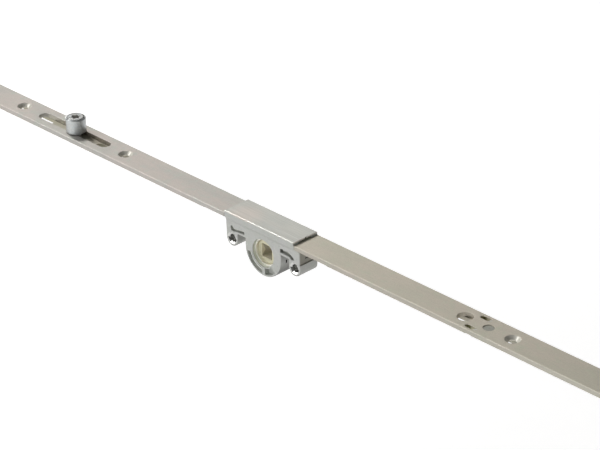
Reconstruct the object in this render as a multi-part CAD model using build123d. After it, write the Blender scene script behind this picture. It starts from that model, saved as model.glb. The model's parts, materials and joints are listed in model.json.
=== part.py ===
from build123d import *
import math
import os

# Window espagnolette for a turn and tilt sash. A gear case sits between two faceplates,
# and a drive rod slides under them. The handle's square spindle turns a pinion, whose teeth
# stand in windows of the rod. An eccentric roller cam on the rod locks behind the frame's keep.
# All sizes are in millimetres. The origin is on the spindle axis, on the faceplates' middle line.
# X runs along the faceplates, Y across them and away from the handle, and Z out of the sash edge.

# Gear train
MODULE = 1.0
TEETH = 20
FIRST_TOOTH = 90.0
PRESSURE_ANGLE = 20.0
TOOTH_TIP = 0.85
TOOTH_ROOT = 1.0
RACK_DEPTH = 0.8
BACKLASH = 0.12
FLANK_STEPS = 4
GEAR_THICK = 5.0
HANDLE_TURN = 90.0
SPINDLE_SQUARE = 7.0
HUB_R = 6.4
HUB_LONG = 1.1
HUB_CHAMFER = 0.45
BUSH_WALL = 0.8
BUSH_LONG = 1.9

# Running gaps between moving pieces
SHAFT_GAP = 0.05
SLIDE_GAP = 0.1
SIDE_GAP = 0.15
TIP_GAP = 0.2

# Strips and cover
PLATE_INSET = 0.1
PLATE_THICK = 2.2
PLATE_EDGE = 0.3
PLATE_CORNER = 1.5
ROD_WIDTH = 10.8
ROD_THICK = 2.1
WAIST_WIDTH = 9.4
WAIST_HALF_LONG = 42.0
COVER_GAP = 0.6
COVER_THICK = 0.8
COVER_EDGE = 0.45

# Gear case
HANDLE_SPACING = 43.0
HANDLE_HOLE_R = 2.1
BOSS_R = 3.9
MOUTH_R = 3.1
MOUTH_DEEP = 0.9
MOUTH_SIDES = 6
BARREL_WALL = 1.15
NEAR_HALF = 6.2
FAR_HALF = 5.5
HEAD_WIDTH = 16.0
FLARE_BELOW_ROD = 0.9
FLARE_ABOVE_ROD = 0.3
RIB_BOTTOM = 3.7
RECESS_DEEP = 1.8
RIGHT_RECESS = (
    (11.8, 5.1), (11.8, 7.1), (13.4, 7.4), (14.4, 6.9), (16.6, 7.3), (18.4, 6.8),
    (20.0, 5.8), (21.4, 4.5), (19.3, 3.8), (18.4, 4.7), (16.9, 5.0), (13.8, 5.2),
)
LEFT_RECESS = (
    (-12.9, 5.2), (-12.9, 6.6), (-17.7, 5.9), (-20.3, 5.7), (-21.2, 7.1), (-22.4, 6.8),
    (-22.1, 4.7), (-21.6, 4.3), (-20.1, 4.2), (-18.3, 4.8),
)
POCKET_SKIN = 0.95
POCKET_RIB = 0.6
POCKET_RIM = 1.0
ARC_POCKET_ANGLES = (193.0, 266.0)
WEDGE_POCKET_ANGLES = (276.0, 315.0)
RIDGE_R = 9.5
RIDGE_THICK = 0.6
RIDGE_DROP = 0.7
END_STEP_DEEP = 0.5
END_STEP_Z = 2.8
END_SLIT = (0.4, 2.4, 5.3, 5.8)
END_SLIT_DEEP = 0.8
BARREL_NOTCH = (2.0, 2.8, -1.9, -0.2)
BARREL_NOTCH_DEEP = 0.5
COVER_LEFT_INSET = 0.8
COVER_RIGHT_INSET = 2.8
COVER_NOTCH_Y = 0.3
COVER_NOTCH_R = 0.45
WALL_RIGHT_PROUD = 0.3

# Tongues of the faceplates, caught in the case
SHOULDER_GAP_LEFT = 0.4
SHOULDER_GAP_RIGHT = 0.1
NECK_WIDTH = 8.0
NECK_LONG = 3.2
TONGUE_WIDTH = 13.8
TONGUE_LONG = 3.0
TONGUE_GAP = 0.15
PAD_GAP = 0.05
PAD_INSET = 1.0

# Studs of the cover and rivets of the case
STUD_R = 1.2
STUD_X = 11.0
STUD_Y = 4.6
STUD_IN_CASE = 2.0
STUD_IN_COVER = 0.5
CASE_RIVET_R = 1.25
CASE_RIVET_X = 15.6
CASE_RIVET_DROP = 2.3
CASE_RIVET_HEAD_R = 2.1
CASE_RIVET_HEAD_THICK = 0.7
CASE_RIVET_HEAD_SINK = 0.6
CASE_RIVET_SKIN = 0.7

# Screw holes of the faceplates and slots of the rod
SCREW_HOLE_R = 2.15
SINK_R = 3.7
END_INSET = 12.0
ROD_END_INSET = 18.0
SLOT_SPARE = 7.0
FORK_SPARE = 3.5
OUTER_SLOT_WIDTH = 6.4
INNER_SLOT_WIDTH = 5.0
GUIDE_SLOT_WIDTH = 5.2
WEB_LEFT_END = 10.1
WEB_RIGHT_END = 43.4

# Roller cam on the left
CAM_X = -144.5
CAM_WEB_LEFT = 18.8
CAM_WEB_RIGHT = 15.8
CAM_SLOT_WIDTH = 6.4
CAM_SPARE_LEFT = 8.8
CAM_SPARE_RIGHT = 6.7
CAM_OFFSET_X = 0.9
CAM_OFFSET_Y = -0.5
COLLAR_GAP = 0.2
CAM_STEM_R = 2.6
CAM_TAIL_R = 1.9
CAM_TAIL_HEAD_R = 3.0
CAM_TAIL_HEAD_THICK = 0.8
CAM_HEAD_R = 4.2
CAM_HEAD_PROUD = 0.2
CAM_EDGE = 0.3
ROLLER_R = 5.15
ROLLER_LONG = 7.8
ROLLER_LIFT = 0.4
ROLLER_EDGE = 0.35
BEAD_LIFT = 1.6
BEAD_LONG = 0.6
BEAD_DEEP = 0.35
SOCKET_R = 2.45
SOCKET_DEEP = 3.0
SOCKET_LOBES = 6
WASHER_R = 4.6
WASHER_THICK = 0.7

# Guide rivet, round hole and lock slots on the right
GUIDE_X = 138.3
GUIDE_HEAD_R = 2.7
GUIDE_HEAD_SINK = 0.4
GUIDE_FOOT_R = 4.0
GUIDE_FOOT_THICK = 0.9
HOLE_FROM_GUIDE = 14.0
HOLE_R = 3.8
SCREW_FROM_GUIDE = 14.1
LOCK_FROM_GUIDE = 6.0
LOCK_Y = 5.2
LOCK_SLOT_LONG = 6.5
LOCK_SLOT_WIDTH = 2.2
STUB_LONG = 3.0
STUB_SINK = 0.25
STUB_RAMP = 1.3

# Levels above the spindle axis
PITCH_R = MODULE * TEETH / 2
TIP_R = PITCH_R + TOOTH_TIP
TRAVEL = PITCH_R * math.radians(HANDLE_TURN)
ROD_BOTTOM = PITCH_R - RACK_DEPTH
ROD_TOP = ROD_BOTTOM + ROD_THICK
CHANNEL_FLOOR = ROD_BOTTOM - SLIDE_GAP
PLATE_BOTTOM = ROD_TOP + SLIDE_GAP
PLATE_TOP = PLATE_BOTTOM + PLATE_THICK
COVER_BOTTOM = PLATE_TOP + COVER_GAP
COVER_TOP = COVER_BOTTOM + COVER_THICK
ROLLER_BOTTOM = PLATE_TOP + ROLLER_LIFT
ROLLER_TOP = ROLLER_BOTTOM + ROLLER_LONG
PIN_TOP = ROLLER_TOP + CAM_HEAD_PROUD
BEAD_BOTTOM = ROLLER_BOTTOM + BEAD_LIFT
BEAD_TOP = BEAD_BOTTOM + BEAD_LONG
WASHER_TOP = ROD_BOTTOM - SHAFT_GAP
WASHER_BOTTOM = WASHER_TOP - WASHER_THICK

# Places across and along the case
GEAR_HALF = GEAR_THICK / 2
CAVITY_HALF = GEAR_HALF + SIDE_GAP
CAVITY_R = TIP_R + TIP_GAP
BARREL_R = CAVITY_R + BARREL_WALL
BUSH_R = HUB_R + SHAFT_GAP + BUSH_WALL
HEAD_HALF = HEAD_WIDTH / 2
PLATE_WIDTH = HEAD_WIDTH - 2 * PLATE_INSET
POCKET_FLOOR = CAVITY_HALF + POCKET_SKIN
RECESS_FLOOR = NEAR_HALF - RECESS_DEEP
CHANNEL_HALF = WAIST_WIDTH / 2 + SIDE_GAP
BOSS_X = HANDLE_SPACING / 2
CASE_END = BOSS_X + BOSS_R
COVER_LEFT = -CASE_END + COVER_LEFT_INSET
COVER_RIGHT = CASE_END - COVER_RIGHT_INSET
WALL_LEFT = COVER_LEFT
WALL_RIGHT = COVER_RIGHT + WALL_RIGHT_PROUD
CASE_RIVET_Z = CHANNEL_FLOOR - CASE_RIVET_DROP
CASE_RIVET_REACH = RECESS_FLOOR - CASE_RIVET_SKIN
CASE_RIVET_SEAT = FAR_HALF - CASE_RIVET_HEAD_SINK

# Places along the left faceplate, from the cam outwards
ROLLER_X = CAM_X + CAM_OFFSET_X
ROLLER_Y = CAM_OFFSET_Y
SLOT_HALF = TRAVEL + SLOT_SPARE
OUTER_SCREW_X = CAM_X - CAM_WEB_LEFT - SLOT_HALF
INNER_SCREW_X = CAM_X + CAM_WEB_RIGHT + SLOT_HALF
LEFT_FORK = OUTER_SCREW_X - SLOT_HALF - WEB_LEFT_END
LEFT_END_SCREW_X = LEFT_FORK - TRAVEL - FORK_SPARE
LEFT_END = LEFT_END_SCREW_X - END_INSET

# Places along the right faceplate, from the guide rivet outwards
HOLE_X = GUIDE_X - HOLE_FROM_GUIDE
LOCK_X = GUIDE_X - LOCK_FROM_GUIDE
RIGHT_SCREW_X = GUIDE_X + SCREW_FROM_GUIDE
RIGHT_FORK = RIGHT_SCREW_X + SLOT_HALF + WEB_RIGHT_END
RIGHT_END_SCREW_X = RIGHT_FORK + TRAVEL + FORK_SPARE
RIGHT_END = RIGHT_END_SCREW_X + END_INSET

# How far a cutting shape runs past the face that it opens
PAST = 1.0


def block(x0, x1, y0, y1, z0, z1):
    return Pos((x0 + x1) / 2, (y0 + y1) / 2, (z0 + z1) / 2) * Box(x1 - x0, y1 - y0, z1 - z0)


def post(x, y, radius, z0, z1):
    return Pos(x, y, (z0 + z1) / 2) * Cylinder(radius, z1 - z0)


def cross_pin(x, z, radius, y0, y1):
    return Pos(x, (y0 + y1) / 2, z) * Rot(90, 0, 0) * Cylinder(radius, y1 - y0)


def long_slot(x0, x1, y, width, z0, z1):
    outline = Pos((x0 + x1) / 2, y, z0) * SlotOverall(x1 - x0, width)
    return extrude(outline, z1 - z0)


# A prism that runs across the case, from an outline drawn as X and Z
def side_prism(outline, y0, y1):
    return Rot(90, 0, 0) * Pos(0, 0, -y1) * extrude(outline, y1 - y0)


def flat_rectangle(x0, x1, z0, z1):
    return Pos((x0 + x1) / 2, (z0 + z1) / 2) * Rectangle(x1 - x0, z1 - z0)


def polar(radius, degrees):
    return (radius * math.cos(math.radians(degrees)), radius * math.sin(math.radians(degrees)))


def ring_sector(r_in, r_out, start, end):
    middle = (start + end) / 2
    return make_face([
        Line(polar(r_in, start), polar(r_out, start)),
        ThreePointArc(polar(r_out, start), polar(r_out, middle), polar(r_out, end)),
        Line(polar(r_out, end), polar(r_in, end)),
        ThreePointArc(polar(r_in, end), polar(r_in, middle), polar(r_in, start)),
    ])


# Half the angle that a tooth fills at a radius, for an involute flank
def tooth_half_angle(radius, base_r):
    flank = math.acos(base_r / radius)
    pressure = math.radians(PRESSURE_ANGLE)
    roll = (math.tan(flank) - flank) - (math.tan(pressure) - pressure)
    return math.degrees(math.pi / (2 * TEETH) - roll)


# The pinion's outline, with one tooth straight up
def pinion_outline():
    base_r = PITCH_R * math.cos(math.radians(PRESSURE_ANGLE))
    root_r = PITCH_R - TOOTH_ROOT
    radii = [base_r + (TIP_R - base_r) * i / FLANK_STEPS for i in range(FLANK_STEPS + 1)]
    halves = [tooth_half_angle(max(r, base_r), base_r) for r in radii]
    pitch = 360.0 / TEETH
    edges = []
    for tooth in range(TEETH):
        centre = FIRST_TOOTH + tooth * pitch
        rising = [polar(r, centre - half) for r, half in zip(radii, halves)]
        falling = [polar(r, centre + half) for r, half in zip(radii, halves)][::-1]
        foot = polar(root_r, centre + halves[0])
        next_foot = polar(root_r, centre + pitch - halves[0])
        edges.append(Line(polar(root_r, centre - halves[0]), rising[0]))
        edges.append(Spline(*rising))
        edges.append(ThreePointArc(rising[-1], polar(TIP_R, centre), falling[0]))
        edges.append(Spline(*falling))
        edges.append(Line(falling[-1], foot))
        edges.append(ThreePointArc(foot, polar(root_r, centre + pitch / 2), next_foot))
    return make_face(edges)


# The pinion, its two hubs and the square hole for the handle's spindle
def make_follower():
    hub_end = GEAR_HALF + HUB_LONG
    hubs = cross_pin(0, 0, HUB_R, -hub_end, hub_end)
    hubs = chamfer(hubs.edges().filter_by(GeomType.CIRCLE), HUB_CHAMFER)
    body = side_prism(pinion_outline(), -GEAR_HALF, GEAR_HALF) + hubs
    return body - side_prism(Rectangle(SPINDLE_SQUARE, SPINDLE_SQUARE), -hub_end - PAST, hub_end + PAST)


# One of the two rings that the follower's hubs turn in, on the side away from the handle
def make_bush():
    ring = cross_pin(0, 0, BUSH_R, CAVITY_HALF, CAVITY_HALF + BUSH_LONG)
    return ring - cross_pin(0, 0, HUB_R + SHAFT_GAP, CAVITY_HALF - PAST, CAVITY_HALF + BUSH_LONG + PAST)


# The narrow lower part of the case: barrel, rib and the two lugs with their bosses
def case_outline():
    outline = Circle(BARREL_R) + flat_rectangle(-BARREL_R, BARREL_R, 0, CHANNEL_FLOOR)
    outline += flat_rectangle(-CASE_END, CASE_END, RIB_BOTTOM, CHANNEL_FLOOR)
    for side in (-1, 1):
        outline += Pos(side * BOSS_X, 0) * Circle(BOSS_R)
        outline += Pos(side * BOSS_X, RIB_BOTTOM / 2) * Rectangle(2 * BOSS_R, RIB_BOTTOM)
    return outline


# The wide upper part of one case half, which flares out of the narrow part in a hollow curve
def case_head(half):
    low = ROD_BOTTOM - FLARE_BELOW_ROD
    high = ROD_TOP + FLARE_ABOVE_ROD
    flare = TangentArc((half, low), (HEAD_HALF, high), tangent=(0, 1))
    rest = Polyline((HEAD_HALF, high), (HEAD_HALF, COVER_BOTTOM), (0, COVER_BOTTOM), (0, low), (half, low))
    section = Plane.YZ * make_face(flare.edges() + rest.edges())
    head = extrude(Pos(-CASE_END, 0, 0) * section, 2 * CASE_END)
    head -= block(-CASE_END - PAST, WALL_LEFT, -PAST, HEAD_WIDTH, PLATE_BOTTOM, COVER_TOP)
    head -= block(WALL_RIGHT, CASE_END + PAST, -PAST, HEAD_WIDTH, PLATE_BOTTOM, COVER_TOP)
    return head - block(COVER_RIGHT, CASE_END + PAST, -PAST, HEAD_WIDTH, PLATE_TOP, COVER_TOP)


# Room for one faceplate's neck and tongue, open to the top under the cover
def tongue_pocket(wall, into):
    neck_half = NECK_WIDTH / 2 + TONGUE_GAP
    tongue_half = TONGUE_WIDTH / 2 + TONGUE_GAP
    start = wall + into * (NECK_LONG - TONGUE_GAP)
    stop = wall + into * (NECK_LONG + TONGUE_LONG + TONGUE_GAP)
    outside = wall - into * PAST
    neck = block(min(outside, start), max(outside, start), -PAST, neck_half, PLATE_BOTTOM, COVER_TOP)
    return neck + block(min(start, stop), max(start, stop), -PAST, tongue_half, PLATE_BOTTOM, COVER_TOP)


# The moulded pockets round the spindle opening, with a low ridge along the longer one
def ring_pockets(half):
    r_in = BUSH_R + POCKET_RIB
    r_out = BARREL_R - POCKET_RIM
    arc = ring_sector(r_in, r_out, *ARC_POCKET_ANGLES)
    wedge = ring_sector(r_in, r_out, *WEDGE_POCKET_ANGLES)
    ridge = ring_sector(RIDGE_R - RIDGE_THICK / 2, RIDGE_R + RIDGE_THICK / 2, *ARC_POCKET_ANGLES)
    pockets = side_prism(arc, POCKET_FLOOR, HEAD_HALF) + side_prism(wedge, POCKET_FLOOR, HEAD_HALF)
    return pockets - side_prism(ridge, POCKET_FLOOR, half - RIDGE_DROP)


# The handle screw's hole, with a six-sided sloping mouth that starts the screw
def handle_hole(x, half):
    face = Plane((x, half, 0), x_dir=(1, 0, 0), z_dir=(0, 1, 0))
    wide = face * RegularPolygon(MOUTH_R, MOUTH_SIDES)
    narrow = face.offset(-MOUTH_DEEP) * RegularPolygon(HANDLE_HOLE_R, MOUTH_SIDES)
    mouth = loft([wide, narrow])
    return mouth + cross_pin(x, 0, HANDLE_HOLE_R, -PAST, half + PAST)


# What both case halves have, on the side away from the handle
def case_shell(half):
    shell = side_prism(case_outline(), 0, half) + case_head(half)
    shell -= block(-CASE_END - PAST, CASE_END + PAST, -PAST, CHANNEL_HALF, CHANNEL_FLOOR, PLATE_BOTTOM)
    shell -= cross_pin(0, 0, CAVITY_R, -PAST, CAVITY_HALF)
    shell -= cross_pin(0, 0, BUSH_R, 0, half + PAST)
    shell -= tongue_pocket(WALL_LEFT, 1)
    shell -= tongue_pocket(WALL_RIGHT, -1)
    shell -= ring_pockets(half)
    shell -= block(CASE_END - END_STEP_DEEP, CASE_END + PAST, -PAST, HEAD_WIDTH, END_STEP_Z, PLATE_BOTTOM)
    for side in (-1, 1):
        shell -= handle_hole(side * BOSS_X, half)
        shell -= post(side * STUD_X, STUD_Y, STUD_R, COVER_BOTTOM - STUD_IN_CASE, COVER_TOP)
    return shell


# The far half, with the case rivets' holes and the seats of their heads
def make_case_far():
    shell = case_shell(FAR_HALF)
    for x in (-CASE_RIVET_X, CASE_RIVET_X):
        shell -= cross_pin(x, CASE_RIVET_Z, CASE_RIVET_R, -PAST, HEAD_HALF)
        shell -= cross_pin(x, CASE_RIVET_Z, CASE_RIVET_HEAD_R, CASE_RIVET_SEAT, HEAD_HALF)
    return shell


# The near half, with hooked recesses and two small notches outside, and blind holes for the case
# rivets inside. It's built on the far side and then mirrored.
def make_case_near():
    shell = case_shell(NEAR_HALF)
    for corners in (LEFT_RECESS, RIGHT_RECESS):
        shell -= side_prism(make_face(Polyline(*corners, close=True)), RECESS_FLOOR, HEAD_HALF)
    for x in (-CASE_RIVET_X, CASE_RIVET_X):
        shell -= cross_pin(x, CASE_RIVET_Z, CASE_RIVET_R, -PAST, CASE_RIVET_REACH)
    shell -= block(CASE_END - END_STEP_DEEP - END_SLIT_DEEP, CASE_END, *END_SLIT)
    shell -= block(BARREL_R - BARREL_NOTCH_DEEP, BARREL_R + PAST, *BARREL_NOTCH)
    return mirror(shell, about=Plane.XZ)


# Two rivets with their heads sunk in the far half
def make_case_rivets():
    head_end = CASE_RIVET_SEAT + CASE_RIVET_HEAD_THICK
    rivets = []
    for x in (-CASE_RIVET_X, CASE_RIVET_X):
        shank = cross_pin(x, CASE_RIVET_Z, CASE_RIVET_R, -CASE_RIVET_REACH, CASE_RIVET_SEAT)
        head = cross_pin(x, CASE_RIVET_Z, CASE_RIVET_HEAD_R, CASE_RIVET_SEAT, head_end)
        rivets.append(shank + head)
    return Compound(children=rivets)


# Where one faceplate's tongue lies, from its inner end to its neck
def tongue_span(wall, into):
    return sorted((wall + into * NECK_LONG, wall + into * (NECK_LONG + TONGUE_LONG)))


# The plate over the case, with two pads that press the tongues on their seats
def make_cover():
    cover = block(COVER_LEFT, COVER_RIGHT, -HEAD_HALF, HEAD_HALF, COVER_BOTTOM, COVER_TOP)
    cover = fillet(cover.edges().filter_by(Axis.X).group_by(Axis.Z)[-1], COVER_EDGE)
    pad_half = TONGUE_WIDTH / 2 - PAD_INSET
    for wall, into in ((WALL_LEFT, 1), (WALL_RIGHT, -1)):
        x0, x1 = tongue_span(wall, into)
        cover += block(x0, x1, -pad_half, pad_half, PLATE_TOP + PAD_GAP, COVER_BOTTOM + COVER_THICK / 2)
    for x in (-STUD_X, STUD_X):
        for y in (-STUD_Y, STUD_Y):
            cover -= post(x, y, STUD_R, COVER_BOTTOM - PAST, COVER_BOTTOM + STUD_IN_COVER)
    return cover - post(COVER_RIGHT, COVER_NOTCH_Y, COVER_NOTCH_R, COVER_BOTTOM - PAST, COVER_TOP + PAST)


def make_cover_studs():
    studs = []
    for x in (-STUD_X, STUD_X):
        for y in (-STUD_Y, STUD_Y):
            studs.append(post(x, y, STUD_R, COVER_BOTTOM - STUD_IN_CASE, COVER_BOTTOM + STUD_IN_COVER))
    return Compound(children=studs)


# A faceplate strip with rounded front edges, a neck and a tongue, and no holes yet
def plate_strip(wall, into, shoulder_gap, end):
    shoulder = wall - into * shoulder_gap
    x0, x1 = sorted((shoulder, end))
    half = PLATE_WIDTH / 2
    strip = block(x0, x1, -half, half, PLATE_BOTTOM, PLATE_TOP)
    end_corners = strip.edges().filter_by(Axis.Z).sort_by(Axis.X, reverse=end > 0)[0:2]
    strip = fillet(end_corners, PLATE_CORNER)
    strip = fillet(strip.edges().filter_by(Axis.X).group_by(Axis.Z)[-1], PLATE_EDGE)
    neck = sorted((shoulder, wall + into * (NECK_LONG + TONGUE_LONG)))
    strip += block(neck[0], neck[1], -NECK_WIDTH / 2, NECK_WIDTH / 2, PLATE_BOTTOM, PLATE_TOP)
    x0, x1 = tongue_span(wall, into)
    return strip + block(x0, x1, -TONGUE_WIDTH / 2, TONGUE_WIDTH / 2, PLATE_BOTTOM, PLATE_TOP)


def sunk_screw_hole(x):
    sink_deep = SINK_R - SCREW_HOLE_R
    sink = Pos(x, 0, PLATE_TOP - sink_deep / 2) * Cone(SCREW_HOLE_R, SINK_R, sink_deep)
    return sink + post(x, 0, SCREW_HOLE_R, PLATE_BOTTOM - PAST, PLATE_TOP)


def make_faceplate_left():
    plate = plate_strip(WALL_LEFT, 1, SHOULDER_GAP_LEFT, LEFT_END)
    for x in (LEFT_END_SCREW_X, OUTER_SCREW_X, INNER_SCREW_X):
        plate -= sunk_screw_hole(x)
    x0 = CAM_X - TRAVEL - CAM_SPARE_LEFT - CAM_SLOT_WIDTH / 2
    x1 = CAM_X + TRAVEL + CAM_SPARE_RIGHT + CAM_SLOT_WIDTH / 2
    return plate - long_slot(x0, x1, 0, CAM_SLOT_WIDTH, PLATE_BOTTOM - PAST, PLATE_TOP + PAST)


def make_faceplate_right():
    plate = plate_strip(WALL_RIGHT, -1, SHOULDER_GAP_RIGHT, RIGHT_END)
    for x in (RIGHT_SCREW_X, RIGHT_END_SCREW_X):
        plate -= sunk_screw_hole(x)
    low = PLATE_BOTTOM - PAST
    high = PLATE_TOP + PAST
    plate -= post(HOLE_X, 0, HOLE_R, low, high)
    plate -= post(GUIDE_X, 0, GUIDE_HEAD_R, low, high)
    x0 = LOCK_X - LOCK_SLOT_LONG / 2
    for y in (-LOCK_Y, LOCK_Y):
        plate -= long_slot(x0, x0 + LOCK_SLOT_LONG, y, LOCK_SLOT_WIDTH, low, high)
    return plate


# One window of the rod, as a space between two rack teeth
def rack_window(x):
    middle = (math.pi * MODULE + BACKLASH) / 4
    slope = math.tan(math.radians(PRESSURE_ANGLE))
    low = middle + (PITCH_R - ROD_BOTTOM) * slope
    high = middle - (ROD_TOP - PITCH_R) * slope
    corners = [(x - low, ROD_BOTTOM), (x + low, ROD_BOTTOM), (x + high, ROD_TOP), (x - high, ROD_TOP)]
    half = GEAR_HALF + 2 * SIDE_GAP
    return side_prism(make_face(Polyline(*corners, close=True)), -half, half)


# The drive rod: one strip with rack windows, a narrow waist and slots round what passes through
def make_drive_rod():
    rod_left = LEFT_END + ROD_END_INSET
    rod_right = RIGHT_END - ROD_END_INSET
    rod = block(rod_left, rod_right, -ROD_WIDTH / 2, ROD_WIDTH / 2, ROD_BOTTOM, ROD_TOP)
    for side in (-1, 1):
        y0, y1 = sorted((side * WAIST_WIDTH / 2, side * ROD_WIDTH))
        rod -= block(-WAIST_HALF_LONG, WAIST_HALF_LONG, y0, y1, ROD_BOTTOM - PAST, ROD_TOP + PAST)
    low = ROD_BOTTOM - PAST
    high = ROD_TOP + PAST
    rod -= long_slot(rod_left - SLOT_HALF, LEFT_FORK, 0, GUIDE_SLOT_WIDTH, low, high)
    rod -= long_slot(OUTER_SCREW_X - SLOT_HALF, OUTER_SCREW_X + SLOT_HALF, 0, OUTER_SLOT_WIDTH, low, high)
    rod -= long_slot(INNER_SCREW_X - SLOT_HALF, INNER_SCREW_X + SLOT_HALF, 0, INNER_SLOT_WIDTH, low, high)
    rod -= long_slot(GUIDE_X - SLOT_HALF, RIGHT_SCREW_X + SLOT_HALF, 0, GUIDE_SLOT_WIDTH, low, high)
    rod -= long_slot(RIGHT_FORK, rod_right + SLOT_HALF, 0, GUIDE_SLOT_WIDTH, low, high)
    rod -= post(CAM_X, 0, CAM_STEM_R + SHAFT_GAP, low, high)
    for side in (-1, 1):
        y0, y1 = sorted((side * (LOCK_Y - LOCK_SLOT_WIDTH / 2), side * ROD_WIDTH))
        rod -= block(LOCK_X - STUB_LONG, LOCK_X, y0, y1, low, high)
    pitch = math.pi * MODULE
    reach = TRAVEL + math.sqrt(TIP_R ** 2 - ROD_BOTTOM ** 2)
    count = math.ceil(reach / pitch)
    for i in range(-count, count + 1):
        rod -= rack_window(i * pitch)
    return rod


# A six-lobed drive socket, as a round hole with six round lobes
def drive_socket():
    lobe_r = SOCKET_R / 4
    core = Circle(SOCKET_R - lobe_r)
    for i in range(SOCKET_LOBES):
        x, y = polar(SOCKET_R - lobe_r, i * 360.0 / SOCKET_LOBES)
        core += Pos(x, y) * Circle(lobe_r)
    return extrude(Pos(ROLLER_X, ROLLER_Y, PIN_TOP - SOCKET_DEEP) * core, SOCKET_DEEP + PAST)


# The eccentric pin: a head off the axis of its stem, so that turning it moves the roller sideways
def make_cam_pin():
    collar_r = CAM_SLOT_WIDTH / 2 - COLLAR_GAP
    head = post(ROLLER_X, ROLLER_Y, CAM_HEAD_R, ROLLER_BOTTOM, PIN_TOP)
    head = chamfer(head.edges().filter_by(GeomType.CIRCLE), CAM_EDGE)
    groove = post(ROLLER_X, ROLLER_Y, ROLLER_R, BEAD_BOTTOM - SHAFT_GAP, BEAD_TOP + SHAFT_GAP)
    head -= groove - post(ROLLER_X, ROLLER_Y, CAM_HEAD_R - BEAD_DEEP, ROLLER_BOTTOM, PIN_TOP)
    pin = head + post(CAM_X, 0, collar_r, ROD_TOP + SHAFT_GAP, ROLLER_BOTTOM + CAM_EDGE)
    pin += post(CAM_X, 0, CAM_STEM_R, WASHER_TOP, ROD_TOP + SHAFT_GAP)
    tail_head = WASHER_BOTTOM - CAM_TAIL_HEAD_THICK
    pin += post(CAM_X, 0, CAM_TAIL_R, WASHER_BOTTOM, WASHER_TOP)
    pin += post(CAM_X, 0, CAM_TAIL_HEAD_R, tail_head, WASHER_BOTTOM)
    return pin - drive_socket()


# The sleeve round the pin's head, held by a bead that turns in the pin's groove
def make_cam_roller():
    sleeve = post(ROLLER_X, ROLLER_Y, ROLLER_R, ROLLER_BOTTOM, ROLLER_TOP)
    sleeve = chamfer(sleeve.edges().filter_by(GeomType.CIRCLE).group_by(Axis.Z)[-1], ROLLER_EDGE)
    bore_r = CAM_HEAD_R + SHAFT_GAP
    bead_r = bore_r - BEAD_DEEP
    bore = post(ROLLER_X, ROLLER_Y, bore_r, ROLLER_BOTTOM - PAST, BEAD_BOTTOM)
    bore += post(ROLLER_X, ROLLER_Y, bead_r, BEAD_BOTTOM, BEAD_TOP)
    bore += post(ROLLER_X, ROLLER_Y, bore_r, BEAD_TOP, ROLLER_TOP + PAST)
    mouth = Pos(ROLLER_X, ROLLER_Y, ROLLER_TOP - CAM_EDGE / 2) * Cone(bore_r, bore_r + CAM_EDGE, CAM_EDGE)
    return sleeve - bore - mouth


def make_cam_washer():
    washer = post(CAM_X, 0, WASHER_R, WASHER_BOTTOM, WASHER_TOP)
    return washer - post(CAM_X, 0, CAM_TAIL_R, WASHER_BOTTOM - PAST, WASHER_TOP + PAST)


# The rivet that holds the rod up under the right faceplate and runs in its long slot
def make_guide_rivet():
    foot_top = ROD_BOTTOM - SLIDE_GAP
    shank_r = GUIDE_SLOT_WIDTH / 2 - SIDE_GAP
    rivet = post(GUIDE_X, 0, GUIDE_HEAD_R, PLATE_BOTTOM, PLATE_TOP - GUIDE_HEAD_SINK)
    rivet += post(GUIDE_X, 0, shank_r, foot_top, PLATE_BOTTOM)
    return rivet + post(GUIDE_X, 0, GUIDE_FOOT_R, foot_top - GUIDE_FOOT_THICK, foot_top)


# The stub left in the right half of each lock slot, with a sloping top
def make_lock_stubs():
    x0 = LOCK_X - LOCK_SLOT_LONG / 2
    x1 = LOCK_X + LOCK_SLOT_LONG / 2
    cut_end = x1 - STUB_LONG
    crest = x1 - LOCK_SLOT_WIDTH / 2
    top = PLATE_TOP - STUB_SINK
    removed = [
        (x0 - PAST, ROD_TOP), (cut_end, ROD_TOP), (cut_end, top - STUB_RAMP),
        (crest, top), (crest, COVER_TOP), (x0 - PAST, COVER_TOP),
    ]
    profile = make_face(Polyline(*removed, close=True))
    stubs = []
    for y in (-LOCK_Y, LOCK_Y):
        whole = long_slot(x0, x1, y, LOCK_SLOT_WIDTH, PLATE_BOTTOM, top)
        stubs.append(whole - side_prism(profile, y - LOCK_SLOT_WIDTH, y + LOCK_SLOT_WIDTH))
    return Compound(children=stubs)


NODES = {
    "faceplate_left": make_faceplate_left,
    "faceplate_right": make_faceplate_right,
    "drive_rod": make_drive_rod,
    "gear_case_near": make_case_near,
    "gear_case_far": make_case_far,
    "gear_cover": make_cover,
    "cover_studs": make_cover_studs,
    "case_rivets": make_case_rivets,
    "follower": make_follower,
    "follower_bush_far": make_bush,
    "follower_bush_near": lambda: mirror(make_bush(), about=Plane.XZ),
    "cam_pin": make_cam_pin,
    "cam_roller": make_cam_roller,
    "cam_washer": make_cam_washer,
    "guide_rivet": make_guide_rivet,
    "transport_lock_stubs": make_lock_stubs,
}

os.makedirs("parts", exist_ok=True)
for name, make in NODES.items():
    export_step(make(), f"parts/{name}.step")
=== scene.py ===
import bmesh
import bpy
import json
import math
from mathutils import Matrix, Vector


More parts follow.
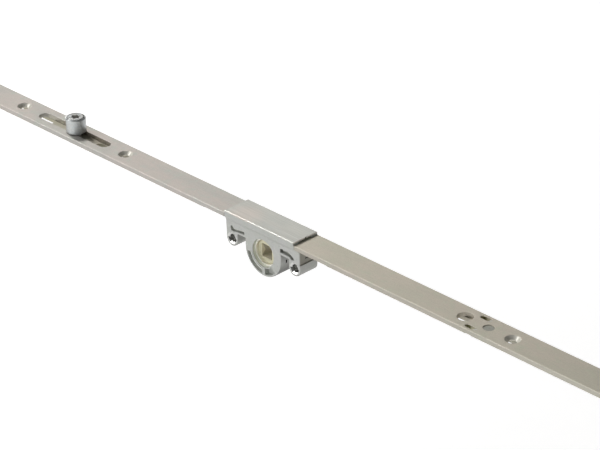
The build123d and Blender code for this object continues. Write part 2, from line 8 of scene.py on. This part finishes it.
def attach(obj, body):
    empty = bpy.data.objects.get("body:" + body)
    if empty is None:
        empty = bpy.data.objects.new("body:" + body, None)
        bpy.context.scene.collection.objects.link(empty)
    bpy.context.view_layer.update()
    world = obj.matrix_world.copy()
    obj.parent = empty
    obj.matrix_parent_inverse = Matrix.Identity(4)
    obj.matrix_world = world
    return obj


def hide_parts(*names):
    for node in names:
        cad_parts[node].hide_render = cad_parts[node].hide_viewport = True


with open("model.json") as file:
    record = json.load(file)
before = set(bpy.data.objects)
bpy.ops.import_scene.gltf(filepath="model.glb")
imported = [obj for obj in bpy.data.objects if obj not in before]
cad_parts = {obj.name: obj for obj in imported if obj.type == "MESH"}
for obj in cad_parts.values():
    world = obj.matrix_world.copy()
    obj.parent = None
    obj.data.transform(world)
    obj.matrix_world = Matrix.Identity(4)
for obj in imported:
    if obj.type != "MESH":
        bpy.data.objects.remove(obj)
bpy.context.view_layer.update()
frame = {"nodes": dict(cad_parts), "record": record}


# The camera. It stands to the right of the gear case and above the bar, 1.2 m away with a long lens,
# on the handle's side, and it leans by less than a degree. All of it was fitted to the photograph.
AIM = Vector((0.01922, 0.0, 0.020316))
AIM_DISTANCE = 1.2074
ROUND_THE_BAR = math.radians(45.815)
ABOVE_THE_BAR = math.radians(28.343)
LEAN = math.radians(-0.706)
LENS_MM = 153.95

back = Vector((
    math.sin(ROUND_THE_BAR) * math.cos(ABOVE_THE_BAR),
    -math.cos(ROUND_THE_BAR) * math.cos(ABOVE_THE_BAR),
    math.sin(ABOVE_THE_BAR),
))
level = Vector((math.cos(ROUND_THE_BAR), math.sin(ROUND_THE_BAR), 0.0))
turn = Matrix((level, back.cross(level), back)).transposed() @ Matrix.Rotation(LEAN, 3, "Z")
camera = bpy.data.objects.new("camera", bpy.data.cameras.new("camera"))
camera.data.lens = LENS_MM
camera.data.sensor_width = 36.0
camera.data.clip_start = 0.05
camera.data.clip_end = 20.0
camera.matrix_world = Matrix.Translation(AIM + AIM_DISTANCE * back) @ turn.to_4x4()
bpy.context.scene.collection.objects.link(camera)
bpy.context.scene.camera = camera
bpy.context.scene.view_settings.view_transform = "Standard"


# The floor: a sheet of white paper 0.2 m below the spindle's axis. It renders white where the light
# reaches it, and the part's shadow lies soft on it.
class Wire:
    """A socket of a material's nodes, which can be used in sums as a number can."""

    def __init__(self, tree, socket):
        self.tree = tree
        self.socket = socket

    def node(self, kind, sockets=None, out=0, **settings):
        """A further node of the same material: its type, what its sockets hold, and its settings, which
        are set first."""
        made = self.tree.nodes.new("ShaderNode" + kind)
        for name, value in settings.items():
            setattr(made, name, value)
        for name, value in (sockets or {}).items():
            if isinstance(value, Wire):
                self.tree.links.new(value.socket, made.inputs[name])
            else:
                made.inputs[name].default_value = value
        return Wire(self.tree, made.outputs[out])

    def math(self, operation, first, second=0.0):
        return self.node("Math", {0: first, 1: second}, operation=operation)

    def __add__(self, other):
        return self.math("ADD", self, other)

    __radd__ = __add__

    def __sub__(self, other):
        return self.math("SUBTRACT", self, other)

    def __rsub__(self, other):
        return self.math("SUBTRACT", other, self)

    def __mul__(self, other):
        return self.math("MULTIPLY", self, other)

    __rmul__ = __mul__

    def rise(self, low, high):
        """0 below low, 1 above high, and a smooth rise between them."""
        return self.node("MapRange", {0: self, 1: low, 2: high}, interpolation_type="SMOOTHSTEP")

    def tint(self, off, on):
        """The colour off where this is 0, and on where it is 1."""
        return self.node("Mix", {0: self, 6: off, 7: on}, out=2, data_type="RGBA")


def new_material(name):
    """An empty material with only its output, and the wire that its nodes are made from."""
    material = bpy.data.materials.new(name)
    material.use_nodes = True
    material.node_tree.nodes.clear()
    output = material.node_tree.nodes.new("ShaderNodeOutputMaterial")
    return material, Wire(material.node_tree, output.inputs["Surface"])


def connect(target, source):
    target.tree.links.new(source.socket, target.socket)


FLOOR_LEVEL = -0.20
FLOOR_SIZE = 8.0
PAPER_WHITE = (0.80, 0.80, 0.80, 1.0)
PAPER_GLOW = 0.50

paper, paper_end = new_material("white_paper")
seen = paper_end.node("LightPath", out="Is Camera Ray")
mirrored = paper_end.node("LightPath", out="Is Glossy Ray")
through = paper_end.node("LightPath", out="Is Transmission Ray")
shown = paper_end.math("MAXIMUM", paper_end.math("MAXIMUM", seen, mirrored), through)
matt = paper_end.node("BsdfDiffuse", {"Color": PAPER_WHITE})
glow = paper_end.node("Emission", {"Color": (1.0, 1.0, 1.0, 1.0), "Strength": shown * PAPER_GLOW})
connect(paper_end, paper_end.node("AddShader", {0: matt, 1: glow}))

sheet = bmesh.new()
bmesh.ops.create_grid(sheet, x_segments=1, y_segments=1, size=FLOOR_SIZE / 2)
bmesh.ops.translate(sheet, verts=sheet.verts, vec=(0.0, 0.0, FLOOR_LEVEL))
floor = bpy.data.objects.new("floor", bpy.data.meshes.new("floor"))
sheet.to_mesh(floor.data)
sheet.free()
floor.data.materials.append(paper)
bpy.context.scene.collection.objects.link(floor)


# The light. The soft lamp high on the left throws the shadows, the one behind the bar shines on its
# top faces, those in front and at the corner light its sides and their rounded edges, and the one on
# the right its ends. Two small ones, beside the camera and low down, glint on the slopes of the holes.
def soft_lamp(name, place, size, watts, colour):
    """A round soft lamp that points at the middle of the part."""
    lamp = bpy.data.objects.new(name, bpy.data.lights.new(name, "AREA"))
    lamp.data.shape = "DISK"
    lamp.data.size = size
    lamp.data.energy = watts
    lamp.data.color = colour
    lamp.location = place
    lamp.rotation_euler = (-Vector(place)).to_track_quat("-Z", "Y").to_euler()
    bpy.context.scene.collection.objects.link(lamp)


soft_lamp("lamp_left", (-2.78, 0.68, 3.00), 0.52, 68.0, (1.0, 0.99, 0.97))
soft_lamp("lamp_behind", (-2.30, 2.22, 1.74), 1.20, 9.6, (1.0, 0.99, 0.97))
soft_lamp("lamp_front", (-0.12, -2.50, 0.50), 1.40, 17.0, (0.97, 0.99, 1.0))
soft_lamp("lamp_corner", (-1.64, -1.49, 1.36), 1.10, 21.0, (0.99, 0.99, 1.0))
soft_lamp("lamp_right", (2.40, -0.30, 0.40), 1.20, 7.0, (1.0, 0.99, 0.97))
soft_lamp("lamp_viewer", (0.45, -1.15, 0.84), 0.20, 1.4, (1.0, 1.0, 1.0))
soft_lamp("lamp_low", (-1.44, 0.43, -0.02), 0.45, 4.0, (1.0, 1.0, 1.0))

ROOM_GREY = (0.05, 0.05, 0.051, 1.0)

world = bpy.data.worlds.new("room")
bpy.context.scene.world = world
world.use_nodes = True
world.node_tree.nodes.clear()
room_end = Wire(world.node_tree, world.node_tree.nodes.new("ShaderNodeOutputWorld").inputs["Surface"])
connect(room_end, room_end.node("Background", {"Color": ROOM_GREY, "Strength": 1.0}))


# The left faceplate: a punched steel strip with a matt zinc plating. The rolling leaves a fine grain
# along the strip, and the plating bath leaves faint rosy and green clouds. Its punched rims are rounded
# by wear. The walls of its slot are painted paler at the left and darker further right, as painted light
# and painted shade.
PLATE_TOP = 0.0136
NEAR_SIDE = -0.0080
RIM_WIDTH = 0.0002
SINK_R = 0.0037
SLOT_WIDTH = (-0.001, 0.0033)
BELOW_RIM = 0.0002
SLOT_WALL_SHADE_AND_LIGHT = ((-0.150, -0.142), (1.12, 1.10, 1.02, 1.0), (0.62, 0.60, 0.53, 1.0))
PAINTED_LIGHT_ALONG = (0.08, 0.20)
SHARP_OVER = math.radians(35.0)
SMOOTH_BELOW = math.radians(24.0)


def eased(node, material, *passes):
    """A merged and smooth copy of a CAD node, which stands for it. Each pass rounds the sharp edges that
    it chooses: their width, the number of segments, and the choice."""
    work = bmesh.new()
    work.from_mesh(frame["nodes"][node].data)
    bmesh.ops.remove_doubles(work, verts=work.verts, dist=1e-6)
    bmesh.ops.dissolve_limit(work, angle_limit=math.radians(0.5), verts=work.verts, edges=work.edges)
    for width, segments, chosen in passes:
        sharp = [e for e in work.edges if e.is_manifold and e.calc_face_angle(0.0) > SHARP_OVER]
        bmesh.ops.bevel(work, geom=[e for e in sharp if chosen(e)], offset=width, offset_type="OFFSET",
                        affect="EDGES", segments=segments, profile=0.5, material=-1, clamp_overlap=False)
    bmesh.ops.remove_doubles(work, verts=work.verts, dist=1e-6)
    for face in work.faces:
        face.smooth = True
    for edge in work.edges:
        edge.smooth = edge.calc_face_angle(0.0) < SMOOTH_BELOW
    piece = bpy.data.objects.new(node + "_eased", bpy.data.meshes.new(node + "_eased"))
    work.to_mesh(piece.data)
    work.free()
    piece.data.materials.append(material)
    bpy.context.scene.collection.objects.link(piece)
    flats = piece.modifiers.new("flats", "WEIGHTED_NORMAL")
    flats.keep_sharp = True
    record = frame["record"]
    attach(piece, next(body for body, nodes in record["behaviour"]["bodies"].items() if node in nodes))
    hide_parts(node)


def at_level(axis, *levels):
    """Chooses the edges that lie at one of these heights along an axis."""
    return lambda edge: any(all(abs(v.co[axis] - level) < 2e-6 for v in edge.verts) for level in levels)


def place_on(wire):
    """The place on the piece: as a whole, and its X, Y and Z."""
    place = wire.node("TexCoord", out="Object")
    return place, *(wire.node("SeparateXYZ", {0: place}, out=axis) for axis in range(3))


def along_x(wire, place, across, along):
    """The place drawn out along X, for grain that runs along the bar."""
    return wire.node("Mapping", {"Vector": place, "Scale": (along, across, across)})


def noise(wire, place, scale, detail=2.0, roughness=0.5):
    sockets = {"Vector": place, "Scale": scale, "Detail": detail, "Roughness": roughness}
    return wire.node("TexNoise", sockets, noise_dimensions="3D")


def grey(tone):
    return (tone, tone, tone, 1.0)


def times(wire, first, second):
    """The product of two colours."""
    return wire.node("Mix", {0: 1.0, 6: first, 7: second}, out=2, data_type="RGBA", blend_type="MULTIPLY")


def metal(wire, colour, roughness, metallic, height, depth):
    """Finishes a metal: its colour, its gloss, and a fine relief of that depth in metres."""
    bump = wire.node("Bump", {"Height": height, "Distance": depth, "Strength": 1.0})
    sockets = {"Base Color": colour, "Roughness": roughness, "Metallic": metallic, "Normal": bump}
    connect(wire, wire.node("BsdfPrincipled", sockets))


def window(value, low, high, soft):
    """1 where the value is between low and high, and 0 outside, over a soft border."""
    return value.rise(low - soft, low + soft) * value.rise(high + soft, high - soft)


def strip_plating(name, pale, rosy, green, flank_shade, screws, slot, wall_light_and_shade):
    """Matt zinc plating on rolled strip, clouded from rosy to green round its pale tone. The near side is
    darkened as painted shade, its rounded top edge is brightened as a painted highlight, the strip is
    lightened towards its right end as painted light, and the sinks of the screws are cut bright. A slot is
    given by its range of X, by its range of Y on both sides of the middle, and by the height that its
    walls reach up to. Between two X the slot's walls change from the first to the second of two painted
    tones, which paint light and shade in the slot."""
    material, wire = new_material(name)
    place, x, y, z = place_on(wire)
    broad = noise(wire, along_x(wire, place, 70.0, 28.0), 1.0, 3.0, 0.55)
    close = noise(wire, place, 210.0, 2.0, 0.5)
    grain = noise(wire, along_x(wire, place, 4200.0, 110.0), 1.0, 2.0, 0.6)
    pits = noise(wire, place, 2400.0, 2.0)
    tone = broad.rise(0.34, 0.62).tint(pale, rosy)
    tone = close.rise(0.52, 0.72).tint(tone, green)
    lined = (grain * 0.5 + pits * 0.5).rise(0.3, 0.7)
    tone = times(wire, tone, lined.tint(grey(0.90), grey(1.09)))
    # The near side is painted darker by the flank tone, as painted shade.
    near = y.rise(NEAR_SIDE + 0.0006, NEAR_SIDE + 0.0002)
    # The rounded near top edge is painted brighter as a painted highlight.
    rounded = near * z.rise(PLATE_TOP - 0.00045, PLATE_TOP - 0.00030)
    tone = times(wire, tone, near.tint(grey(1.0), flank_shade))
    tone = times(wire, tone, rounded.tint(grey(1.0), grey(1.18)))
    # The strip is painted lighter towards its right end as painted light.
    tone = times(wire, tone, x.rise(*PAINTED_LIGHT_ALONG).tint(grey(1.0), grey(1.09)))
    slot_x, slot_y, slot_top = slot
    wall = window(x, *slot_x, 0.0001) * window(wire.math("ABSOLUTE", y), *slot_y, 0.0001)
    wall = wall * z.rise(slot_top, slot_top - 0.0002)
    # The slot's walls are painted with two tones along X: painted light and painted shade.
    shading_x, *shading_tones = wall_light_and_shade
    tone = times(wire, tone, wall.tint(grey(1.0), x.rise(*shading_x).tint(*shading_tones)))
    rough = 0.42 + grain * 0.14
    relief = grain + pits * 0.7
    metallic = 0.55
    for screw in screws:
        off_x = x - screw
        sink = wire.math("SQRT", off_x * off_x + y * y).rise(SINK_R + 0.00002, SINK_R - 0.00010)
        tone = sink.tint(tone, (0.80, 0.775, 0.69, 1.0))
        rough = rough * (1.0 - sink * 0.25)
        relief = relief * (1.0 - sink)
        metallic = metallic - sink * 0.15
    metal(wire, tone, rough, metallic, relief, 0.000008)
    return material


left_plating = strip_plating(
    "left_plating", pale=(0.49, 0.475, 0.44, 1.0), rosy=(0.54, 0.495, 0.455, 1.0),
    green=(0.49, 0.495, 0.45, 1.0), flank_shade=grey(0.95), screws=(-0.186, -0.106),
    slot=((-0.170, -0.117), SLOT_WIDTH, PLATE_TOP - BELOW_RIM), wall_light_and_shade=SLOT_WALL_SHADE_AND_LIGHT)
eased("faceplate_left", left_plating, (RIM_WIDTH, 2, at_level(2, PLATE_TOP)))


# The right faceplate, of the same strip from another bath: its plating is a little yellower. The walls
# of its two lock slots are painted dark at the left, where the tabs were torn out, as painted shade, and
# paler at the right as painted light.
LOCK_SLOT_LONG = (0.1288, 0.1358)
LOCK_SLOT_WIDTH = (0.0040, 0.0064)
LOCK_SLOT_WALL_SHADING = ((0.1306, 0.1324), (0.36, 0.36, 0.21, 1.0), (1.1, 1.1, 0.95, 1.0))

right_plating = strip_plating(
    "right_plating", pale=(0.525, 0.50, 0.415, 1.0), rosy=(0.56, 0.515, 0.435, 1.0),
    green=(0.525, 0.515, 0.42, 1.0), flank_shade=(0.87, 0.87, 0.89, 1.0), screws=(0.1524,),
    slot=(LOCK_SLOT_LONG, LOCK_SLOT_WIDTH, PLATE_TOP - BELOW_RIM), wall_light_and_shade=LOCK_SLOT_WALL_SHADING)
eased("faceplate_right", right_plating, (RIM_WIDTH, 2, at_level(2, PLATE_TOP)))


# The drive rod: the same strip, but duller and a little olive from the grease that it slides in. It has
# no screw sinks, and the walls of its long slot are painted with the same painted light and shade as the
# left faceplate's.
ROD_TOP = 0.0113

rod_plating = strip_plating(
    "rod_plating", pale=(0.43, 0.415, 0.335, 1.0), rosy=(0.45, 0.42, 0.345, 1.0),
    green=(0.40, 0.40, 0.32, 1.0), flank_shade=grey(1.0), screws=(),
    slot=((-0.215, -0.080), SLOT_WIDTH, ROD_TOP - BELOW_RIM / 2), wall_light_and_shade=SLOT_WALL_SHADE_AND_LIGHT)
eased("drive_rod", rod_plating)


# The gear case: two halves of die-cast zinc, matt from the die, with softly rounded outer edges. Its
# recesses are less metallic, and painted paler as painted light against the shade in them, and darker
# to the right and in the hooks as painted shade. The sloping mouths of the two handle holes are bright
# from the screws. A small notch beside the barrel, a slit at the right end, the barrel's underside and
# the right end are painted dark as painted shade, and the wall of the spindle opening pale as painted
# light.
NEAR_FACE = -0.0062
FAR_FACE = 0.0055
BARREL_R = 0.0122
BOSS_R = 0.0039
BOSS_X = 0.0215
CASE_END = 0.0254
RIB_BOTTOM = 0.0037
ON_LINE = 0.00006
ROUNDED = 0.0004
RIM_BREAK = 0.00012
NEAR_HOLLOWS = (-0.0057, -0.0005)
FAR_HOLLOWS = (0.0005, 0.0050)
RING_POCKETS = (0.0078, 0.0112)
OPENING_WALL = (0.0072, 0.00735)
LEFT_HOOK = (-0.0226, -0.0127)
RIGHT_HOOK = (0.0116, 0.0216)
HOOK_HEIGHTS = (0.0036, 0.0076)
NOTCH = ((0.0115, 0.0126), (-0.0029, -0.0019), (-0.0020, -0.0001))
SLIT = ((0.0238, 0.02485), (-0.00245, -0.00035), (0.00525, 0.00585))
STEP_X = 0.0229
STEP_Z = 0.0026
MOUTH_R = 0.0030


def on_outline(edge):
    """Chooses the edges round the outside of the case's narrow part, on its two flat faces."""
    if not at_level(1, NEAR_FACE, FAR_FACE)(edge):
        return False
    x, _, z = (edge.verts[0].co + edge.verts[1].co) / 2
    rounds = (math.hypot(x, z) - BARREL_R, math.hypot(abs(x) - BOSS_X, z) - BOSS_R)
    straights = (abs(x) - CASE_END, z - RIB_BOTTOM, abs(x) - BOSS_X + BOSS_R, abs(x) - BARREL_R)
    return any(abs(gap) < ON_LINE for gap in (straights if z > 0 else rounds))


def inner_rim(edge):
    return at_level(1, NEAR_FACE, FAR_FACE)(edge) and not on_outline(edge)


def in_box(ranges, soft, *places):
    """1 inside a box, given by its ranges along X, Y and Z, and 0 outside."""
    in_x, in_y, in_z = (window(value, *sides, soft) for value, sides in zip(places, ranges))
    return in_x * in_y * in_z


case_skin, wire = new_material("case_skin")
place, x, y, z = place_on(wire)
broad = noise(wire, place, 120.0, 3.0, 0.55)
skin = noise(wire, place, 900.0, 3.0, 0.6)
pits = noise(wire, place, 3600.0, 1.0)
tone = broad.rise(0.35, 0.65).tint((0.50, 0.51, 0.475, 1.0), (0.52, 0.52, 0.50, 1.0))
tone = skin.rise(0.58, 0.78).tint(tone, (0.60, 0.60, 0.58, 1.0))
tone = skin.rise(0.42, 0.24).tint(tone, (0.40, 0.41, 0.385, 1.0))
radius = wire.math("SQRT", x * x + z * z)
sunk = window(y, *NEAR_HOLLOWS, 0.0003) + window(y, *FAR_HOLLOWS, 0.0003)
ring = window(radius, *RING_POCKETS, 0.0001) * z.rise(0.0, -0.001)
hooks = window(x, *RIGHT_HOOK, 0.0001) + window(x, *LEFT_HOOK, 0.0001)
hooks = hooks * window(z, *HOOK_HEIGHTS, 0.0001) * y.rise(0.0, -0.001)
hollow = (ring + hooks) * sunk
# The recesses are painted paler as painted light against the shade in them, and darker to the right and
# higher up as painted shade.
hollow_light_and_shade = skin.rise(0.35, 0.65).tint((0.66, 0.67, 0.62, 1.0), (0.86, 0.87, 0.82, 1.0))
hollow_light_and_shade = times(wire, hollow_light_and_shade, x.rise(-0.0015, 0.0015).tint(grey(1.0), grey(0.72)))
hollow_light_and_shade = times(wire, hollow_light_and_shade, z.rise(0.0, 0.001).tint(grey(1.0), (0.60, 0.60, 0.585, 1.0)))
tone = hollow.tint(tone, hollow_light_and_shade)
# The notch and the slit are painted near black as painted shade.
shaded_cuts = in_box(NOTCH, 0.00005, x, y, z) + in_box(SLIT, 0.00003, x, y, z)
tone = shaded_cuts.tint(tone, (0.06, 0.06, 0.055, 1.0))
# The wall of the spindle opening is painted pale as painted light against its shade.
opening = window(radius, *OPENING_WALL, 0.00004) * sunk
tone = opening.tint(tone, (0.74, 0.77, 0.68, 1.0))
# The barrel's round underside is painted dark, darker towards the bottom, as painted shade.
barrel_underside_shade = radius.rise(BARREL_R - 0.00020, BARREL_R - 0.00005) * z.rise(-0.001, -0.004)
barrel_shade_tone = z.rise(-0.0035, -0.0065).tint((0.34, 0.34, 0.32, 1.0), (0.20, 0.20, 0.19, 1.0))
tone = barrel_underside_shade.tint(tone, barrel_shade_tone)
# The right end is painted darker as painted shade, unevenly with the die skin's mottle.
end = x.rise(STEP_X, STEP_X + 0.0002) * z.rise(STEP_Z, STEP_Z + 0.0003)
end = end * y.rise(NEAR_FACE + 0.0002, NEAR_FACE + 0.0007) * (0.7 + skin * 0.6)
tone = times(wire, tone, end.tint(grey(1.0), (0.60, 0.575, 0.52, 1.0)))
off_boss = wire.math("ABSOLUTE", x) - BOSS_X
mouth = wire.math("SQRT", off_boss * off_boss + z * z).rise(MOUTH_R + 0.00015, MOUTH_R)
tone = mouth.tint(tone, (0.62, 0.62, 0.60, 1.0))
rough = (0.50 + skin * 0.12) * (1.0 - mouth * 0.62)
metallic = 0.5 + mouth * 0.4 - hollow * 0.4
metal(wire, tone, rough, metallic, (skin + pits * 0.35) * (1.0 - mouth), 0.00006)
for half in ("gear_case_near", "gear_case_far"):
    eased(half, case_skin, (ROUNDED, 3, on_outline), (RIM_BREAK, 2, inner_rim))


# The gear cover: a thin steel plate, brushed lengthwise and zinc plated, with its long edges rolled
# smooth and painted brighter as a painted highlight. Its right end is sheared and matt, and painted pale
# as painted light.
COVER_LEFT = -0.0246
COVER_RIGHT = 0.0226
ROLLED_FROM = 0.0074
ROSY_SPOT = (-0.014, -0.004, 0.015)
FINE_RIM = 0.0001

cover_brushed, wire = new_material("cover_brushed")
place, x, y, _ = place_on(wire)
broad = noise(wire, along_x(wire, place, 160.0, 60.0), 1.0, 3.0, 0.55)
brush = noise(wire, along_x(wire, place, 3600.0, 26.0), 1.0, 3.0, 0.65)
hairs = noise(wire, along_x(wire, place, 6000.0, 90.0), 1.0, 1.0)
off_spot = wire.node("VectorMath", {0: place, 1: ROSY_SPOT}, out="Value", operation="DISTANCE")
tone = broad.rise(0.35, 0.65).tint((0.355, 0.36, 0.335, 1.0), (0.38, 0.38, 0.35, 1.0))
tone = (off_spot + broad * 0.012).rise(0.019, 0.009).tint(tone, (0.415, 0.385, 0.35, 1.0))
lined = (brush * 0.7 + hairs * 0.3).rise(0.3, 0.7).tint(grey(0.80), grey(1.18))
# The rolled long edges carry no brush lines, and are painted brighter as a painted highlight.
rolled = wire.math("ABSOLUTE", y).rise(ROLLED_FROM, ROLLED_FROM + 0.0002)
tone = times(wire, tone, rolled.tint(lined, grey(1.36)))
# The sheared right end is matt, and painted pale as painted light.
sheared = x.rise(COVER_RIGHT - 0.00012, COVER_RIGHT - 0.00004)
tone = sheared.tint(tone, (0.97, 0.93, 0.84, 1.0))
rough = 0.29 + brush * (1.0 - rolled) * 0.10 + rolled * 0.05 + sheared * 0.3
relief = (brush + hairs * 0.5) * (1.0 - rolled)
metal(wire, tone, rough, 0.6 - sheared * 0.6, relief, 0.000006)
eased("gear_cover", cover_brushed, (FINE_RIM, 2, at_level(0, COVER_LEFT, COVER_RIGHT)))


# The follower: a sintered pinion with a yellow passivated plating, which turns in the two bushes. Its
# square hole is painted pale as painted light, and darker deeper in as painted shade.
HUB_END = 0.0036
SQUARE_HALF = 0.0035
LIT_DEEP = 0.0024

follower_yellow, wire = new_material("follower_yellow")
place, x, y, z = place_on(wire)
broad = noise(wire, place, 300.0, 3.0, 0.6)
pits = noise(wire, place, 2600.0, 2.0)
tone = broad.rise(0.35, 0.65).tint((0.62, 0.59, 0.43, 1.0), (0.68, 0.65, 0.48, 1.0))
tone = pits.rise(0.62, 0.80).tint(tone, (0.54, 0.51, 0.39, 1.0))
off_middle = wire.math("MAXIMUM", wire.math("ABSOLUTE", x), wire.math("ABSOLUTE", z))
# The square hole is painted pale as painted light against its shade, and darker deeper in, past a slanting
# line, as painted shade.
inside = off_middle.rise(SQUARE_HALF + 0.00008, SQUARE_HALF + 0.00002)
tone = inside.tint(tone, (0.98, 0.92, 0.70, 1.0))
depth = HUB_END - wire.math("ABSOLUTE", y)
slope = LIT_DEEP - wire.math("ABSOLUTE", z + 0.0010) * 0.4
lit_depth = wire.math("MINIMUM", (z + SQUARE_HALF) * 0.95, slope)
painted_hole_shade = inside * (depth - lit_depth + pits * 0.0006).rise(0.0, 0.0006)
tone = painted_hole_shade.tint(tone, (0.60, 0.56, 0.44, 1.0))
metal(wire, tone, 0.42 + broad * 0.14, 0.6 - inside * 0.5, pits, 0.00004)
eased("follower", follower_yellow, (RIM_BREAK, 2, at_level(1, -HUB_END, HUB_END)))


# The bushes: two turned steel rings, pressed into the case, that the follower's hubs run in. The tool
# leaves fine rings on their faces.
BUSH_END = 0.00455
TOOL_MARKS = 42000.0


def length_of(wire, vector):
    return wire.node("VectorMath", {0: vector}, out="Value", operation="LENGTH")


bush_turned, wire = new_material("bush_turned")
place = wire.node("TexCoord", out="Object")
off_axis = wire.node("VectorMath", {0: place, 1: (1.0, 0.0, 1.0)}, operation="MULTIPLY")
rings = wire.math("SINE", length_of(wire, off_axis) * TOOL_MARKS) * 0.5 + 0.5
patches = noise(wire, place, 500.0, 2.0)
# Their pale tone is painted light, against the shade of the opening they sit in.
tone = patches.rise(0.35, 0.65).tint((0.90, 0.86, 0.80, 1.0), (0.94, 0.93, 0.87, 1.0))
metal(wire, tone, 0.34 + rings * 0.10 + patches * 0.1, 0.7, rings, 0.000006)
eased("follower_bush_near", bush_turned, (FINE_RIM, 2, at_level(1, -BUSH_END)))
eased("follower_bush_far", bush_turned, (FINE_RIM, 2, at_level(1, BUSH_END)))


# The roller cam: a turned steel pin and sleeve, bright zinc plated with a bluish passivation. The pin's
# head has a six-lobed socket, painted paler as painted light, and the gap between the pin and the sleeve
# is painted black as painted shade.
ROLLER_AXIS = (-0.1436, -0.0005, 0.0)
ROLLER_TOP = 0.0218
ROLLER_BOTTOM = 0.0140
ROLLER_BORE_R = 0.00452
PIN_TOP = 0.0220
SOCKET_R = 0.0026
FINE_TOOL_MARKS = 38000.0


def bright_turned(name, pale, blue, gloss, mottle, hollow, painted_hollow_tone):
    """Turned and bright plated steel with fine rings, and another tone painted into its hollow, which is
    chosen by the distance from the axis and by the height: painted light in a socket, painted shade in a
    bore."""
    material, wire = new_material(name)
    place = wire.node("TexCoord", out="Object")
    off = wire.node("VectorMath", {0: place, 1: ROLLER_AXIS}, operation="SUBTRACT")
    off_axis = wire.node("VectorMath", {0: off, 1: (1.0, 1.0, 0.0)}, operation="MULTIPLY")
    radius = length_of(wire, off_axis)
    height = wire.node("SeparateXYZ", {0: off}, out=2)
    rings = wire.math("SINE", (radius + height) * FINE_TOOL_MARKS) * 0.5 + 0.5
    drawn = wire.node("Mapping", {"Vector": off, "Scale": (180.0, 180.0, 3200.0)})
    bands = noise(wire, drawn, 1.0, 2.0)
    patches = noise(wire, place, 420.0, 2.0)
    spots = noise(wire, place, 1100.0, 3.0, 0.6)
    tone = (bands * 0.5 + patches * 0.5).rise(0.35, 0.65).tint(pale, blue)
    tone = times(wire, tone, spots.rise(0.40, 0.60).tint(grey(1.0 - mottle), grey(1.0 + mottle)))
    # The hollow is painted: light in the pin's socket, shade in the roller's bore.
    painted_hollow = hollow(radius, height)
    tone = painted_hollow.tint(tone, painted_hollow_tone)
    metal(wire, tone, gloss + bands * 0.10 + patches * 0.06, 0.85 - painted_hollow * 0.5, rings + bands, 0.000004)
    return material


def in_socket(radius, height):
    return radius.rise(SOCKET_R, SOCKET_R - 0.0001) * height.rise(PIN_TOP - 0.0001, PIN_TOP - 0.0003)


def in_bore(radius, height):
    return radius.rise(ROLLER_BORE_R + 0.00006, ROLLER_BORE_R)


pin_bright = bright_turned(
    "pin_bright", pale=(0.46, 0.46, 0.44, 1.0), blue=(0.40, 0.42, 0.43, 1.0), gloss=0.30, mottle=0.3,
    hollow=in_socket, painted_hollow_tone=(0.50, 0.49, 0.46, 1.0))
roller_bright = bright_turned(
    "roller_bright", pale=(0.55, 0.56, 0.54, 1.0), blue=(0.50, 0.525, 0.535, 1.0), gloss=0.32, mottle=0.06,
    hollow=in_bore, painted_hollow_tone=(0.03, 0.03, 0.028, 1.0))
eased("cam_pin", pin_bright, (FINE_RIM, 2, at_level(2, PIN_TOP)))
eased("cam_roller", roller_bright, (FINE_RIM, 2, at_level(2, ROLLER_TOP, ROLLER_BOTTOM)))


# The small fasteners: the guide rivet, the case rivets, the cover studs and the cam's friction washer.
# They are of plain steel with a dull zinc plating, and all their edges are tumbled round.
def every_edge(edge):
    return True


rivet_zinc, wire = new_material("rivet_zinc")
place = wire.node("TexCoord", out="Object")
patches = noise(wire, place, 600.0, 3.0, 0.6)
pits = noise(wire, place, 3200.0, 1.0)
tone = patches.rise(0.35, 0.65).tint((0.30, 0.30, 0.265, 1.0), (0.38, 0.38, 0.335, 1.0))
metal(wire, tone, 0.40 + patches * 0.2, 0.6, patches + pits * 0.5, 0.00004)
for node in ("guide_rivet", "case_rivets", "cover_studs", "cam_washer"):
    eased(node, rivet_zinc, (FINE_RIM, 2, every_edge))


# The transport lock stubs: what is left of two moulded plastic tabs, which the handle's first turn tore
# off. They sit in the right halves of the lock slots.
stub_pale, wire = new_material("stub_pale")
place = wire.node("TexCoord", out="Object")
patches = noise(wire, place, 700.0, 2.0)
grain = noise(wire, place, 4000.0, 2.0)
tone = patches.rise(0.35, 0.65).tint((0.60, 0.59, 0.54, 1.0), (0.68, 0.67, 0.63, 1.0))
bump = wire.node("Bump", {"Height": grain, "Distance": 0.00003, "Strength": 1.0})
sockets = {"Base Color": tone, "Roughness": 0.55 + patches * 0.1, "Normal": bump}
connect(wire, wire.node("BsdfPrincipled", sockets))
eased("transport_lock_stubs", stub_pale, (FINE_RIM, 2, every_edge))
